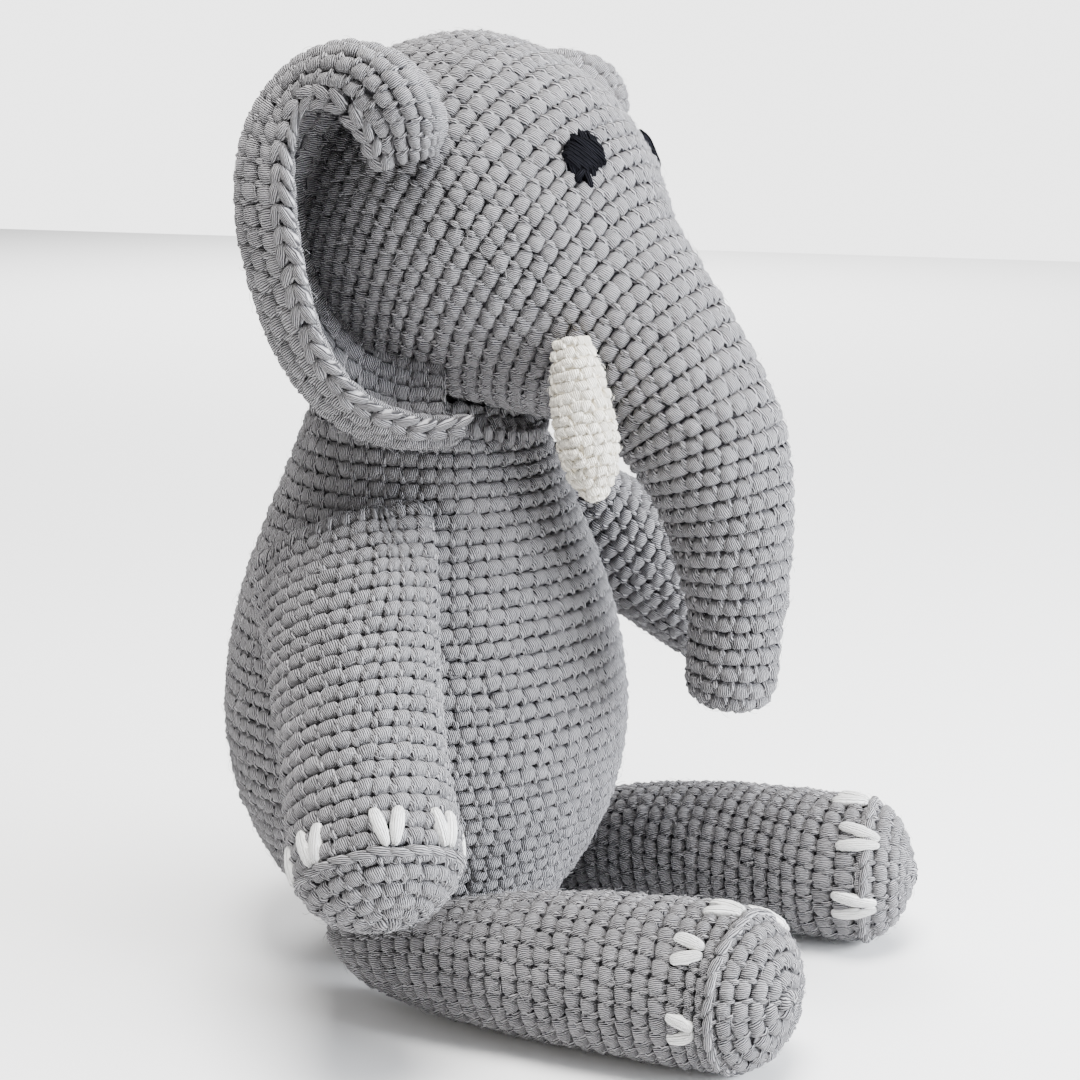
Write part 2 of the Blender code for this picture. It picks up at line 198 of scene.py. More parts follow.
def yarn_material(name, light, dark, contrast=1.45, ply_dent=0.00045, sheen=0.10, mottling=0.16, shine=0.2):
    """A yarn whose plies follow the strand UV map."""
    made = bpy.data.materials.new(name)
    made.use_nodes = True
    tree = made.node_tree
    link = tree.links.new
    shader = tree.nodes["Principled BSDF"]
    shader.inputs["Roughness"].default_value = 0.75
    shader.inputs["Specular IOR Level"].default_value = shine
    shader.inputs["Sheen Weight"].default_value = sheen
    shader.inputs["Sheen Roughness"].default_value = 0.6
    strand = add_node(tree, "ShaderNodeUVMap")
    strand.uv_map = "strand"
    plies = add_node(tree, "ShaderNodeTexWave", Scale=0.33, Distortion=2.2, Detail=2.0, Detail_Scale=1.4)
    plies.wave_type = "BANDS"
    plies.bands_direction = "X"
    link(strand.outputs["UV"], plies.inputs["Vector"])
    stretch = add_node(tree, "ShaderNodeMapping", Scale=(2.3, 0.18, 1.0))
    link(strand.outputs["UV"], stretch.inputs["Vector"])
    fibres = add_node(tree, "ShaderNodeTexNoise", Scale=1.0, Detail=2.0, Roughness=0.65)
    link(stretch.outputs["Vector"], fibres.inputs["Vector"])
    height = scale_and_add(tree, fibres.outputs["Fac"], FIBRE_SHARE, plies.outputs["Fac"])
    bump = add_node(tree, "ShaderNodeBump", Strength=1.0, Distance=ply_dent)
    link(height, bump.inputs["Height"])
    link(bump.outputs["Normal"], shader.inputs["Normal"])
    place_in_toy = add_node(tree, "ShaderNodeTexCoord")
    patches = add_node(tree, "ShaderNodeTexNoise", Scale=60.0, Detail=2.0)
    link(place_in_toy.outputs["Object"], patches.inputs["Vector"])
    even = add_node(tree, "ShaderNodeMath", "SUBTRACT")
    even.inputs[1].default_value = 0.95 * contrast - 0.52
    link(stored_value(tree, "tone"), even.inputs[0])
    mottled = scale_and_add(tree, patches.outputs["Fac"], mottling, even.outputs["Value"])
    # painted shade in the dents between plies and painted highlight on their ridges
    ply_shade_and_highlight = scale_and_add(tree, height, contrast, mottled)
    # painted shade: the colour darkens with depth in the fabric
    shaded = scale_and_add(tree, stored_value(tree, "depth"), DEPTH_SHADE, ply_shade_and_highlight)
    ramp = add_node(tree, "ShaderNodeValToRGB")
    first, last = ramp.color_ramp.elements
    first.position = 0.0
    first.color = (*dark, 1.0)
    last.position = 1.0
    last.color = (*light, 1.0)
    link(shaded, ramp.inputs["Fac"])
    link(ramp.outputs["Color"], shader.inputs["Base Color"])
    return made


grey_yarn = yarn_material("grey_cotton_yarn", (0.37, 0.362, 0.374), (0.015, 0.014, 0.017))
cream_yarn = yarn_material("cream_cotton_yarn", (1.0, 0.965, 0.87), (0.62, 0.56, 0.44), contrast=0.45)
white_yarn = yarn_material("white_cotton_yarn", (0.97, 0.97, 0.96), (0.55, 0.54, 0.51), contrast=0.5)
black_yarn = yarn_material("black_cotton_yarn", (0.008, 0.008, 0.011), (0.0005, 0.0005, 0.001),
                          sheen=0.0, shine=0.03)
print("yarns:", [m.name for m in (grey_yarn, cream_yarn, white_yarn, black_yarn)])

# %% [markdown]
# ## Skins
#
# A skin is a grid of points: rings along a bag, each with the same number of points round it. It is read
# off the solid bag of the frame with rays from the bag's middle line, so it can't drift away from it. The
# solid's flat facets would show, so only the slow waves of each ring are kept.

# %% Read a skin off a solid bag
WALL_REACH = 0.014      # metres: anything further out belongs to another part of the toy


def solid_tree(*nodes):
    corners = []
    faces = []
    for node in nodes:
        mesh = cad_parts[node].data
        start = len(corners)
        corners += [vertex.co.copy() for vertex in mesh.vertices]
        faces += [[start + index for index in polygon.vertices] for polygon in mesh.polygons]
    return BVHTree.FromPolygons(corners, faces)


def outer_wall(tree, centre, way):
    """Distance from the middle line to the outermost layer of the wall in that direction."""
    distance = tree.ray_cast(centre, way, 0.08)[3]
    while distance is not None:
        start = distance + 0.0001
        further = tree.ray_cast(centre + way * start, way, WALL_REACH)[3]
        if further is None:
            break
        distance = start + further
    return distance


def through_points(knots, places):
    """Points of a smooth curve through the knots; place 2.5 is half way between the third and fourth."""
    ends = np.vstack([2 * knots[0] - knots[1], knots, 2 * knots[-1] - knots[-2]])
    curve = []
    for spot in places:
        i = int(spot)
        t = spot - i
        p0, p1, p2, p3 = ends[i:i + 4]
        curve.append(0.5 * (2 * p1 + (p2 - p0) * t + (2 * p0 - 5 * p1 + 4 * p2 - p3) * t ** 2
                            + (3 * p1 - p0 - 3 * p2 + p3) * t ** 3))
    return np.array(curve)


def smooth_line(points, spacing):
    """Points at an even spacing on a smooth curve through the given ones."""
    knots = np.array([np.array(p) for p in points])
    fine = through_points(knots, np.arange(24 * (len(knots) - 1)) / 24)
    fine = np.vstack([fine, knots[-1]])
    run = np.concatenate([[0], np.cumsum(np.linalg.norm(np.diff(fine, axis=0), axis=1))])
    steps = np.linspace(0, run[-1], max(2, int(run[-1] / spacing)))
    return np.stack([np.interp(steps, run, fine[:, k]) for k in range(3)], axis=1)


def slow_waves(ring, keep=5):
    """Keep the slow waves of a closed ring of points."""
    waves = np.fft.fft(ring, axis=0)
    rates = np.abs(np.fft.fftfreq(len(ring), 1 / len(ring)))
    waves[rates > keep] = 0
    return np.real(np.fft.ifft(waves, axis=0))


def even_rings(grid, spacing):
    """The same skin with its rings an even distance apart."""
    gaps = np.linalg.norm(np.diff(grid, axis=0), axis=2).mean(axis=1)
    run = np.concatenate([[0], np.cumsum(gaps)])
    steps = np.linspace(0, run[-1], max(3, round(run[-1] / spacing) + 1))
    flat = grid.reshape(len(grid), -1)
    even = np.stack([np.interp(steps, run, flat[:, k]) for k in range(flat.shape[1])], axis=1)
    return even.reshape(len(steps), grid.shape[1], 3)


def read_skin(nodes, line, wide, sides, closed_start, closed_end, bulge=0.0006, skip=None):
    """A grid of rings (ring, point, xyz) on the outside of the given solids.

    skip is a place and a distance: no rings are read there, and the skin bridges the stretch.
    """
    tree = solid_tree(*nodes)
    spine = smooth_line(line, 0.0012)
    heading = np.gradient(spine, axis=0)
    rings = []
    ends = []
    for centre, axis in zip(spine, heading):
        centre = Vector(centre)
        axis = Vector(axis).normalized()
        if skip and (centre - skip[0]).length < skip[1]:
            continue
        x = (wide - axis * wide.dot(axis)).normalized()
        y = axis.cross(x)
        cross = [outer_wall(tree, centre, way) for way in (x, -x, y, -y)]
        if None in cross:
            continue
        half_x = (cross[0] + cross[1]) / 2
        half_y = (cross[2] + cross[3]) / 2
        ring = []
        for step in range(sides):
            angle = 2 * math.pi * step / sides
            way = (x * half_x * math.cos(angle) + y * half_y * math.sin(angle)).normalized()
            distance = outer_wall(tree, centre, way)
            if distance is None:
                break
            ring.append(centre + way * distance)
        if len(ring) == sides:
            rings.append(slow_waves(np.array(ring)))
            ends.append((centre, axis))
    grid = even_rings(np.array(rings), 0.0012)
    for _ in range(8):
        grid[1:-1] = (grid[:-2] + 2 * grid[1:-1] + grid[2:]) / 4
    if skip:
        far = np.linalg.norm(grid.mean(axis=1) - np.array(skip[0]), axis=1) / (2.6 * skip[1])
        share = np.clip(1.0 - far ** 2, 0, 1)[1:-1, None, None]
        for _ in range(160):
            grid[1:-1] += share * (grid[:-2] + grid[2:] - 2 * grid[1:-1]) / 4
    if closed_start:
        pole = np.array(ends[0][0] - ends[0][1] * bulge)
        grid = np.concatenate([[pole + (grid[0] - pole) * 0.01], grid])
    if closed_end:
        pole = np.array(ends[-1][0] + ends[-1][1] * bulge)
        grid = np.concatenate([grid, [pole + (grid[-1] - pole) * 0.01]])
    return grid


class Skin:
    """A grid of rings with its outward normals, read at any place along and round it."""

    def __init__(self, grid, closed=True):
        self.grid = grid
        self.closed = closed
        gaps = np.linalg.norm(np.diff(grid, axis=0), axis=2).mean(axis=1)
        self.run = np.concatenate([[0], np.cumsum(gaps)])
        along = np.gradient(grid, axis=0)
        if closed:
            around = np.roll(grid, -1, axis=1) - np.roll(grid, 1, axis=1)
            lengths = np.linalg.norm(np.roll(grid, -1, axis=1) - grid, axis=2)
        else:
            around = np.gradient(grid, axis=1)
            lengths = np.linalg.norm(np.diff(grid, axis=1), axis=2)
        self.girth = lengths.sum(axis=1)
        normal = np.cross(around, along)
        size = np.linalg.norm(normal, axis=2, keepdims=True)
        self.normal = normal / np.maximum(size, 1e-15)
        self.hand = 1.0

    def turn_out(self, outward):
        """Flip the normals if they point against the given directions, and note which way is right."""
        if np.sum(self.normal * outward) < 0:
            self.normal = -self.normal
            self.hand = -1.0
        return self

    def at(self, run, turn, height=0.0):
        """World points at a run along, a turn (0 to 1) round and a height above the skin."""
        rows, sides = self.grid.shape[:2]
        i = np.interp(run, self.run, np.arange(rows))
        i0 = np.clip(np.floor(i).astype(int), 0, rows - 2)
        fi = (i - i0)[..., None]
        if self.closed:
            j = (turn % 1.0) * sides
            j0 = np.floor(j).astype(int) % sides
            j1 = (j0 + 1) % sides
        else:
            j = np.clip(turn, 0, 1) * (sides - 1)
            j0 = np.clip(np.floor(j).astype(int), 0, sides - 2)
            j1 = j0 + 1
        fj = (j - np.floor(j))[..., None] if self.closed else (j - j0)[..., None]
        spot = 0
        out = 0
        for rows_at, share_i in ((i0, 1 - fi), (i0 + 1, fi)):
            for sides_at, share_j in ((j0, 1 - fj), (j1, fj)):
                spot = spot + self.grid[rows_at, sides_at] * share_i * share_j
                out = out + self.normal[rows_at, sides_at] * share_i * share_j
        out = out / np.maximum(np.linalg.norm(out, axis=-1, keepdims=True), 1e-9)
        return spot + out * np.asarray(height)[..., None]


def bag_skin(grid):
    """A skin whose normals point away from the middle of its rings."""
    middle = grid.mean(axis=1, keepdims=True)
    return Skin(grid).turn_out(grid - middle)


# %% [markdown]
# ## Filling the bags
#
# Filling pushes the fabric out until it is tight, most where it is flat and least along a sewn edge. A cloth
# simulation with pressure does this. The grid's own corners are simulated, without a remesh, so the rounds
# keep their places, and no corner may move further than a small cap.

# %% Fill a bag
def stuff(name, grid, sewn_start, sewn_end, cap, pressure=4.0, spacing=0.004):
    """The grid after its bag has been filled: a short cloth simulation under pressure."""
    grid = even_rings(grid, spacing)
    rows, sides = grid.shape[:2]
    corners = [tuple(point) for point in grid.reshape(-1, 3)]
    corners += [tuple(grid[0].mean(axis=0)), tuple(grid[-1].mean(axis=0))]
    faces = []
    for i in range(rows - 1):
        for j in range(sides):
            a = i * sides + j
            b = i * sides + (j + 1) % sides
            faces.append((a, b, b + sides, a + sides))
    last = (rows - 1) * sides
    for j in range(sides):
        faces.append((rows * sides, (j + 1) % sides, j))
        faces.append((rows * sides + 1, last + j, last + (j + 1) % sides))
    mesh = bpy.data.meshes.new(name)
    mesh.from_pydata(corners, [], faces)
    bag = bpy.data.objects.new(name, mesh)
    bpy.context.scene.collection.objects.link(bag)
    bpy.ops.object.select_all(action="DESELECT")
    bpy.context.view_layer.objects.active = bag
    bag.select_set(True)
    bpy.ops.object.mode_set(mode="EDIT")
    bpy.ops.mesh.select_all(action="SELECT")
    bpy.ops.mesh.normals_make_consistent(inside=False)
    bpy.ops.object.mode_set(mode="OBJECT")
    sewn = bag.vertex_groups.new(name="sewn")
    held = []
    if sewn_start:
        held += list(range(sides)) + [rows * sides]
    if sewn_end:
        held += list(range(last, last + sides)) + [rows * sides + 1]
    sewn.add(held or [0], 1.0, "REPLACE")
    cloth = bag.modifiers.new("filling", "CLOTH")
    cloth.settings.quality = 6
    cloth.settings.mass = 0.3
    cloth.settings.tension_stiffness = 25.0
    cloth.settings.compression_stiffness = 25.0
    cloth.settings.shear_stiffness = 10.0
    cloth.settings.bending_stiffness = 2.0
    cloth.settings.use_pressure = True
    cloth.settings.uniform_pressure_force = pressure
    cloth.settings.effector_weights.gravity = 0.0
    cloth.settings.vertex_group_mass = "sewn"
    cloth.point_cache.frame_start = 1
    cloth.point_cache.frame_end = 20
    scene = bpy.context.scene
    for frame_number in range(1, 21):
        scene.frame_set(frame_number)
    seen = bag.evaluated_get(bpy.context.evaluated_depsgraph_get())
    filled = np.zeros(len(corners) * 3)
    seen.data.vertices.foreach_get("co", filled)
    scene.frame_set(1)
    bpy.data.objects.remove(bag, do_unlink=True)
    move = filled.reshape(-1, 3)[:rows * sides].reshape(grid.shape) - grid
    far = np.linalg.norm(move, axis=2, keepdims=True)
    move = move * np.minimum(1.0, cap / np.maximum(far, 1e-9))
    for _ in range(2):
        move = (np.roll(move, 1, axis=1) + 2 * move + np.roll(move, -1, axis=1)) / 4
    print(f"{name}: filling moved the fabric {far.mean() / MM:.2f} mm, at most {far.max() / MM:.2f} mm")
    return grid + move


def sew_shut(grid, flat_way, steps=((0.85, 0.8), (0.01, 1.5))):
    """Add rings past the last one that press the end flat: (share of thickness, millimetres on)."""
    last = grid[-1]
    middle = last.mean(axis=0)
    onward = middle - grid[-3].mean(axis=0)
    onward = onward / np.linalg.norm(onward)
    thin = np.cross(onward, np.array(flat_way))
    thin = thin / np.linalg.norm(thin)
    rings = [grid]
    for share, distance in steps:
        apart = (last - middle) @ thin
        ring = last - apart[:, None] * thin * (1 - share) + onward * distance * MM
        if share < 0.1:
            ring = middle + onward * distance * MM + (ring - middle - onward * distance * MM) * 0.02
        rings.append(ring[None])
    return np.concatenate(rings)


# %% [markdown]
# ## Stitches
#
# From outside, a single crochet stitch shows two lobes of yarn: a broad one that fans out towards the next
# round, and a narrow one that leans beside it and dives under. Each lobe is a short fat tube with closed
# ends, modelled once in the flat, in shares of a stitch. Then thousands of copies are bent onto the skin by
# reading the skin at every corner, which keeps the stitches in line with the rounds and as wide as the
# round allows.

# %% A lobe of yarn
PLY = 0.00052               # width of one ply, the unit of the strand map
FABRIC_BOTTOM = 0.0009      # how far a stitch dives under the skin
SHADED = 0.0014             # yarn this much above the bottom gets full light


def lobe(start, end, widths, crest, sink=FABRIC_BOTTOM, rings=5, sides=8, belly=0.42, nod=0.30,
         dome=None, flat=0.6):
    """A closed tube in the flat from start to end (across, along), in shares of a stitch.

    widths are the half widths at start, middle and end, crest is its height in metres over the skin,
    and nod says how much lower its end lies than its start. belly and dome say how blunt it is seen from
    above and from the side (less is blunter), flat how square it is across.
    Returns its corners (across, along, height), faces and strand map.
    """
    start = np.array(start, float)
    end = np.array(end, float)
    way = (end - start) / np.linalg.norm(end - start)
    cross = np.array([way[1], -way[0]])
    corners = [(*start, -sink)]
    strand = [(0.0, 0.0)]
    angles = np.concatenate([np.linspace(0, math.pi, sides - 1), [math.pi * 1.5]])
    for step in range(rings):
        share = (step + 0.5) / rings
        centre = start + (end - start) * (0.03 + 0.94 * (0.5 - 0.5 * math.cos(math.pi * share)))
        round_off = math.sin(math.pi * share) ** belly
        width = np.interp(share, (0, 0.5, 1), widths) * round_off
        top = (crest + sink) * math.sin(math.pi * share) ** (dome or belly) * (1 + nod * (0.45 - share))
        for angle in angles:
            out = math.cos(angle) * width
            high = math.sin(angle)
            up = -sink + top * max(high, 0) ** flat + min(high, 0) * 0.0003
            corners.append((*(centre + cross * out), up))
            strand.append((math.cos(angle) * 0.5, share))
    corners.append((*end, -sink))
    strand.append((0.0, 1.0))
    faces = []
    last = len(corners) - 1
    for side in range(sides):
        following = (side + 1) % sides
        faces.append((0, 1 + following, 1 + side))
        for step in range(rings - 1):
            low = 1 + step * sides
            faces.append((low + side, low + following, low + sides + following, low + sides + side))
        top_ring = 1 + (rings - 1) * sides
        faces.append((last, top_ring + side, top_ring + following))
    return np.array(corners), faces, np.array(strand), max(widths)


def join_lobes(*lobes):
    """Several lobes as one pattern."""
    corners = []
    faces = []
    strands = []
    start = 0
    for shape, shape_faces, strand, width in lobes:
        corners.append(shape)
        strands.append(strand * np.array([2 * width, 1.0]))
        faces += [tuple(start + index for index in face) for face in shape_faces]
        start += len(shape)
    return np.concatenate(corners), faces, np.concatenate(strands)


SINGLE_CROCHET = join_lobes(
    lobe((0.10, -0.50), (-0.06, 0.56), (0.40, 0.58, 0.64), 0.00180, sides=7, belly=0.20, nod=-0.12, dome=0.66,
         flat=0.50),
    lobe((0.62, -0.62), (0.50, 0.22), (0.13, 0.24, 0.20), 0.00185, rings=3, sides=6, belly=0.34, dome=0.55),
)
print("a stitch has", len(SINGLE_CROCHET[1]), "faces")


# %% [markdown]
# ## Fabric
#
# A piece of fabric is gathered in arrays first and becomes a mesh at the end, because adding thousands of
# stitches one object at a time would take hours. No two stitches are alike: each copy is a little wider,
# longer, higher, lighter or more slanted than its neighbour, and loose fibres stand out between them.

# %% Copy the pattern along rounds of a skin
PRESSED = 0.0015    # yarn lower than this over the ground is pressed flat by it
HAIR = 0.00005      # thickness of a loose fibre
HAIR_BENDS = 4


def shade_of(height):
    """How deep in the fabric a height over the skin is: 0 in full light, 1 at the bottom."""
    return np.clip(1.0 - (height + FABRIC_BOTTOM) / SHADED, 0, 1)


class Fabric:
    """Corners, faces, strand map, tone and depth of a piece, gathered before its mesh is made."""

    def __init__(self, seed):
        self.corners = []
        self.faces = {3: [], 4: []}
        self.strands = []
        self.tones = []
        self.depths = []
        self.count = 0
        self.random = np.random.default_rng(seed)

    def add(self, corners, faces, strand, tone, depth):
        """Add many copies: corners (copy, corner, xyz), faces of one copy, strand (copy, corner, 2)."""
        copies, size = corners.shape[:2]
        starts = self.count + np.arange(copies)[:, None, None] * size
        for length in (3, 4):
            chosen = np.array([face for face in faces if len(face) == length], int)
            if len(chosen):
                self.faces[length].append((chosen[None] + starts).reshape(-1, length))
        self.corners.append(corners.reshape(-1, 3))
        self.strands.append(np.broadcast_to(strand, (copies, size, 2)).reshape(-1, 2))
        self.tones.append(np.broadcast_to(tone, (copies, size)).reshape(-1))
        self.depths.append(np.broadcast_to(depth, (copies, size)).reshape(-1))
        self.count += copies * size

    def rounds(self, skin, pattern, runs, row, width, height=0.0, drift=0.18, wobble=1.0):
        """Lay rounds of stitches at the given runs along the skin; returns how many stitches."""
        shape, faces, strand = pattern
        total = 0
        phase = 0.0
        for run in runs:
            girth = float(np.interp(run, skin.run, skin.girth))
            number = max(5, round(girth / width)) if skin.closed else max(1, round(girth / width))
            phase += drift / number
            centre = (np.arange(number) + 0.5) / number + (phase if skin.closed else 0.0)
            rand = self.random.normal(0, 1, (7, number, 1)) * wobble
            across = shape[None, :, 0] * (1 + 0.05 * rand[0]) + 0.05 * rand[1]
            lean = 0.06 * rand[6]
            along = shape[None, :, 1] * (1 + 0.03 * rand[2]) + 0.035 * rand[3]
            across = across + lean * along
            high = shape[None, :, 2] * (1 + 0.10 * rand[4]) + height
            turn = centre[:, None] + skin.hand * across / number
            corners = skin.at(run + along * row, turn, high)
            spin = self.random.uniform(0, 50, (number, 1, 2))
            map_across = strand[None, :, 0:1] * (girth / number / PLY)
            map_along = strand[None, :, 1:2] * (row * 1.2 / PLY)
            sheer = 0.18 * map_along
            mapped = np.concatenate([map_across + sheer, map_along], axis=2) + spin
            tone = 0.08 * self.random.normal(0, 1, (number, 1))
            # the depth sets the painted shade of each corner
            self.add(corners, faces, mapped, tone, shade_of(shape[None, :, 2]))
            total += number
        return total

    def single(self, skin, pattern, run, turn, length, width, height):
        """Lay one pattern at a run and a turn; length and width are its size in metres."""
        shape, faces, strand = pattern
        girth = float(np.interp(run, skin.run, skin.girth))
        across = turn + skin.hand * shape[None, :, 0] * width / girth
        corners = skin.at(run + shape[None, :, 1] * length, across, shape[None, :, 2] + height)
        mapped = strand[None] * np.array([width, length]) / PLY + self.random.uniform(0, 50, (1, 1, 2))
        self.add(corners, faces, mapped, 0.1, shade_of(shape[None, :, 2]))

    def fuzz(self, skin, number, length):
        """Loose fibre ends: thin curved hairs that leave the stitches here and there."""
        rand = self.random
        run = rand.uniform(0, 1, number) * skin.run[-1]
        share = np.interp(run, skin.run, skin.girth) / skin.girth.max()
        chosen = rand.uniform(0, 1, number) < share
        run = run[chosen]
        number = len(run)
        turn = rand.uniform(0, 1, number)
        root = skin.at(run, turn, np.full(number, 0.0003))
        out = skin.at(run, turn, np.full(number, 0.0013)) - root
        out /= np.linalg.norm(out, axis=1, keepdims=True)
        free = rand.normal(0, 1, (number, 3))
        lie = free - out * np.sum(free * out, axis=1, keepdims=True)
        lie /= np.linalg.norm(lie, axis=1, keepdims=True)
        side = np.cross(out, lie)
        long = length * rand.uniform(0.5, 1.4, (number, 1))
        rise = rand.uniform(0.15, 0.75, (number, 1)) * long
        curl = rand.normal(0, 0.35, (number, 1)) * long
        rings = []
        for t in np.linspace(0, 1, HAIR_BENDS):
            middle = root + lie * long * t * (1 - 0.25 * t) + out * rise * t * (1.25 - 0.75 * t)
            middle = middle + side * curl * t * t
            for angle in (0.0, 2.1, 4.2):
                thick = HAIR * (1.15 - 0.6 * t)
                rings.append(middle + (side * math.cos(angle) + out * math.sin(angle)) * thick)
        corners = np.stack(rings, axis=1)
        end = 3 * HAIR_BENDS
        faces = [(0, 1, 2), (end - 1, end - 2, end - 3)]
        for bend in range(HAIR_BENDS - 1):
            for k in range(3):
                a = 3 * bend + k
                b = 3 * bend + (k + 1) % 3
                faces.append((a, a + 3, b + 3, b))
        strand = np.zeros((number, end, 2)) + rand.uniform(0, 50, (number, 1, 2))
        self.add(corners, faces, strand, 0.25, 0.0)

    def backing(self, skin, depth, spacing=0.004):
        """The inner side of the fabric, painted dark as the shade between the stitches: a closed skin a
        little below them.
        """
        rows = max(3, int(skin.run[-1] / spacing) + 1)
        sides = 40 if skin.closed else 60
        run = np.linspace(0, skin.run[-1], rows)
        turn = np.arange(sides) / sides if skin.closed else np.linspace(0, 1, sides)
        grid = skin.at(np.repeat(run, sides).reshape(rows, sides), np.tile(turn, (rows, 1)),
                       np.full((rows, sides), -depth))
        corners = grid.reshape(-1, 3)
        faces = []
        for i in range(rows - 1):
            for j in range(sides if skin.closed else sides - 1):
                a = i * sides + j
                b = i * sides + (j + 1) % sides
                faces.append((a, b, b + sides, a + sides))
        if skin.closed:
            poles = len(corners)
            corners = np.vstack([corners, grid[0].mean(axis=0), grid[-1].mean(axis=0)])
            last_row = (rows - 1) * sides
            for j in range(sides):
                following = (j + 1) % sides
                faces.append((poles, following, j))
                faces.append((poles + 1, last_row + j, last_row + following))
        if skin.hand < 0:
            faces = [face[::-1] for face in faces]
        # depth 0.9 paints the backing with nearly full shade
        self.add(corners[None], faces, np.zeros((1, len(corners), 2)), 0.1, 0.9)

    def make(self, name, material):
        """One mesh object from everything gathered."""
        corners = np.concatenate(self.corners).astype(np.float32)
        low = np.minimum(corners[:, 2], PRESSED)
        corners[:, 2] += PRESSED * np.exp((low - PRESSED) / PRESSED) - low
        strands = np.concatenate(self.strands).astype(np.float32)
        loops = []
        lengths = []
        for length in (3, 4):
            if self.faces[length]:
                block = np.concatenate(self.faces[length])
                loops.append(block.reshape(-1))
                lengths.append(np.full(len(block), length))
        loops = np.concatenate(loops).astype(np.int32)
        lengths = np.concatenate(lengths).astype(np.int32)
        mesh = bpy.data.meshes.new(name)
        mesh.vertices.add(len(corners))
        mesh.vertices.foreach_set("co", corners.reshape(-1))
        mesh.loops.add(len(loops))
        mesh.loops.foreach_set("vertex_index", loops)
        mesh.polygons.add(len(lengths))
        starts = np.concatenate([[0], np.cumsum(lengths)[:-1]]).astype(np.int32)
        mesh.polygons.foreach_set("loop_start", starts)
        mesh.polygons.foreach_set("loop_total", lengths)
        mesh.update(calc_edges=True)
        mesh.uv_layers.new(name="strand").data.foreach_set("uv", strands[loops].reshape(-1))
        for label, values in (("tone", self.tones), ("depth", self.depths)):
            stored = mesh.attributes.new(label, "FLOAT", "POINT")
            stored.data.foreach_set("value", np.concatenate(values).astype(np.float32))
        mesh.shade_smooth()
        made = bpy.data.objects.new(name, mesh)
        bpy.context.scene.collection.objects.link(made)
        made.data.materials.append(material)
        print(f"{name}: {int((lengths - 2).sum())} triangles")
        return made


ROUND = 0.0040      # height of a round
STITCH = 0.0043     # width of a stitch
SINK = 0.0007       # stitches lie this far into the skin, so that their crests are where the bag ends
FUZZ = 110000       # loose fibres per square metre


def crochet(name, grid, seed, material=None, round_height=ROUND, stitch_width=STITCH, scale=1.0, wobble=0.75):
    """A bag of crocheted rounds on a grid of rings, from the first ring to the last."""
    skin = bag_skin(grid)
    fabric = Fabric(seed)
    fabric.backing(skin, 0.0009 * scale)
    length = skin.run[-1]
    number = round(length / round_height)
    row = length / number
    runs = (np.arange(number) + 0.5) * row
    shape, faces, strand = SINGLE_CROCHET
    pattern = (shape * np.array([1.0, 1.0, scale]), faces, strand)
    stitches = fabric.rounds(skin, pattern, runs, row, stitch_width, -SINK * scale, wobble=wobble)
    area = float(np.sum(np.diff(skin.run) * (skin.girth[1:] + skin.girth[:-1]) / 2))
    fabric.fuzz(skin, int(FUZZ * skin.girth.max() * skin.run[-1]), 0.0034 * scale)
    made = fabric.make(name, material or grey_yarn)
    print(f"{name}: {number} rounds, {stitches} stitches, {area * 1e4:.0f} square centimetres")
    return made, skin


# %% [markdown]
# ## Body
#
# The body is worked from the middle of its base to the neck. Its last rounds turn in under the head and
# follow the head's ball, so no gap opens there when the head turns or nods.

# %% Body
body_line = [place(0, 0, 0.15), place(0, 0, 60), place(0, 0, 120), place(0, 1.0, 142), place(0, 2.2, 147.2)]
sideways = Vector((1, 0, 0))
body_grid = read_skin(["body_cover"], body_line, sideways, 48, True, False, bulge=0.0)
body_grid = stuff("body", body_grid, False, True, cap=0.0015)
body_grid[..., 2] = np.maximum(body_grid[..., 2], 0.0001)
head_middle = np.array(place(0, 13.3, 187.9))
HEAD_SEAT = 0.0468      # distance from the head's middle to the fabric it sits on
rings = [body_grid]
neck_middle = body_grid[-1].mean(axis=0)
for share in (0.955, 0.90, 0.83):
    ring = neck_middle + (body_grid[-1] - neck_middle) * share
    away = ring - head_middle
    ring = head_middle + away / np.linalg.norm(away, axis=1, keepdims=True) * HEAD_SEAT
    rings.append(ring[None])
body_grid = np.concatenate(rings)
body_piece, body_skin = crochet("body_skin", body_grid, 1)
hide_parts("body_cover")
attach(body_piece, "body")

# %% [markdown]
# ## Head and trunk
#
# The head runs on into the trunk without a seam, like a horn, so both are one skin. It is worked from the
# back of the head to the trunk's tip, and bends where the trunk hangs from the head.

# %% Head and trunk
horn_line = [place(0, f, u) for f, u in ((-29.1, 205.0), (13.3, 187.9), (36.2, 174.8), (57.5, 160.4),
                                         (72.6, 145.8), (80.2, 128.3), (83.8, 108.0), (84.2, 86.0),
                                         (82.9, 73.8))]
trunk_root = place(0, 66.0, 153.2)
horn_grid = read_skin(["head_cover", "trunk_cover"], horn_line, sideways, 48, True, True,
                      bulge=0.0012, skip=(trunk_root, 0.0085))
horn_grid = stuff("head and trunk", horn_grid, False, False, cap=0.0012)
head_piece, head_skin = crochet("head_and_trunk_skin", horn_grid, 2)
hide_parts("head_cover", "trunk_cover")
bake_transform(head_piece)

# %% [markdown]
# ## Limbs and tusks
#
# Each limb starts as a flat round at the paw or sole and is worked up to an end that is pressed flat and
# sewn to the body. The tusks are the same idea in a finer yarn, at half the gauge.

